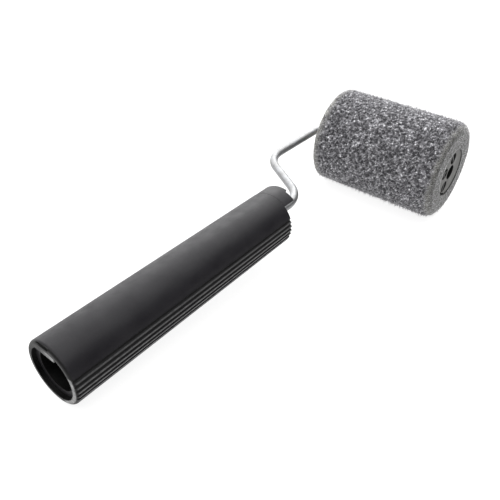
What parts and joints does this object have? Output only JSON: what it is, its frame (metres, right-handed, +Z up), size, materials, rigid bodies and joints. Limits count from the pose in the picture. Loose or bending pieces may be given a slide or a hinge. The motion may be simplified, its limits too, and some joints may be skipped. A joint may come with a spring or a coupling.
{
  "type": "mini foam paint roller",
  "caption": "Small paint roller: a coarse foam sleeve that spins on the end of a cranked steel wire held in a hollow ribbed handle.",
  "frame": {"origin": "centre of the footprint of the roller lying on a flat surface, at the surface", "axes": "+Z up; +X along the sleeve towards its free end; +Y from the handle towards the sleeve. The handle leans up towards the sleeve by about 3.6 degrees"},
  "size_m": [0.0722, 0.208, 0.045],
  "materials": {
    "grip_plastic": "charcoal moulded polypropylene, satin",
    "core_plastic": "black moulded polypropylene, satin",
    "zinc_wire": "bright zinc-plated drawn wire",
    "clip_steel": "spring steel",
    "foam": "coarse open-cell polyurethane foam, dark grey",
    "cap_plastic": "light grey moulded polypropylene",
    "nylon": "natural nylon",
    "acetal": "black acetal"
  },
  "bodies": {
    "frame": {"grip_cover": "grip_plastic", "handle_core": "core_plastic", "wire_frame": "zinc_wire", "stop_washer": "nylon", "retaining_clip": "clip_steel"},
    "roller": {"foam_sleeve": "foam", "core_tube": "cap_plastic", "outer_end_cap": "cap_plastic", "inner_end_cap": "cap_plastic", "outer_bush": "acetal", "inner_bush": "acetal"}
  },
  "joints": [
    {"name": "roller_spin", "type": "hinge", "parent": "frame", "child": "roller", "pos_m": [0.0058, 0.08153, 0.0225], "axis": [1, 0, 0], "continuous": true}
  ]
}
